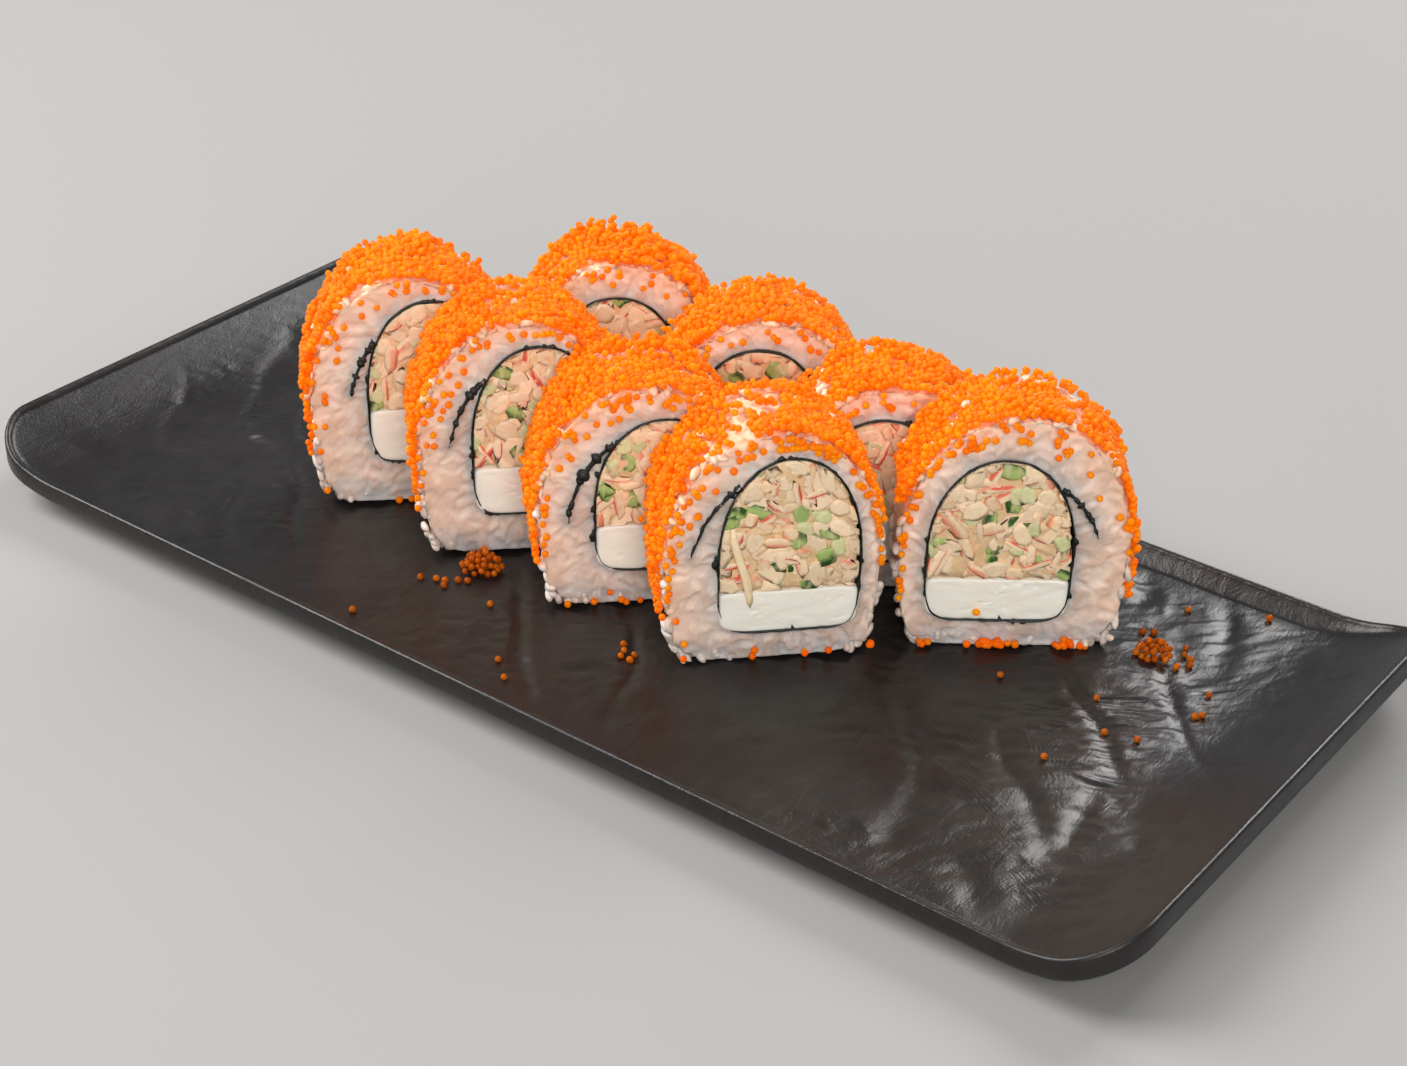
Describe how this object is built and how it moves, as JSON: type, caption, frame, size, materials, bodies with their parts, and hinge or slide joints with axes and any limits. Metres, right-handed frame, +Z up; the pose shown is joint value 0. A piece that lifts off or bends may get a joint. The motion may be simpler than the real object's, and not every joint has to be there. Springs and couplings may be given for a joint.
{
  "type": "uramaki roll pieces on a serving plate",
  "caption": "Inside-out sushi roll cut in slices, coated in orange roe, in two rows on a black rectangular plate with raised ends.",
  "frame": {"origin": "under the middle of the plate, on the surface that its foot stands on", "axes": "+X along the plate's long side, +Y across the plate towards the far row, +Z up"},
  "size_m": [0.27, 0.1234, 0.0593],
  "materials": {
    "plate": "black stoneware, low satin gloss, slate-like ripples pressed into the floor",
    "rice": "cooked sushi rice: translucent warm white grains with a wet sheen",
    "nori": "dried seaweed sheet, nearly black, crinkled, damp",
    "cheese": "cream cheese, ivory, matte and smooth",
    "salad": "chopped surimi and cucumber in mayonnaise: cream with pink and green bits",
    "roe": "orange roe, translucent glossy eggs"
  },
  "bodies": {
    "root": {"plate": "plate", "rice_left_1": "rice", "nori_left_1": "nori", "cheese_left_1": "cheese", "salad_left_1": "salad", "roe_left_1": "roe", "rice_left_2": "rice", "nori_left_2": "nori", "cheese_left_2": "cheese", "salad_left_2": "salad", "roe_left_2": "roe", "rice_left_3": "rice", "nori_left_3": "nori", "cheese_left_3": "cheese", "salad_left_3": "salad", "roe_left_3": "roe", "rice_left_4": "rice", "nori_left_4": "nori", "cheese_left_4": "cheese", "salad_left_4": "salad", "roe_left_4": "roe", "rice_right_1": "rice", "nori_right_1": "nori", "cheese_right_1": "cheese", "salad_right_1": "salad", "roe_right_1": "roe", "rice_right_2": "rice", "nori_right_2": "nori", "cheese_right_2": "cheese", "salad_right_2": "salad", "roe_right_2": "roe", "rice_right_3": "rice", "nori_right_3": "nori", "cheese_right_3": "cheese", "salad_right_3": "salad", "roe_right_3": "roe", "rice_right_4": "rice", "nori_right_4": "nori", "cheese_right_4": "cheese", "salad_right_4": "salad", "roe_right_4": "roe", "roe_heap_front": "roe", "roe_heap_end": "roe"}
  },
  "joints": []
}
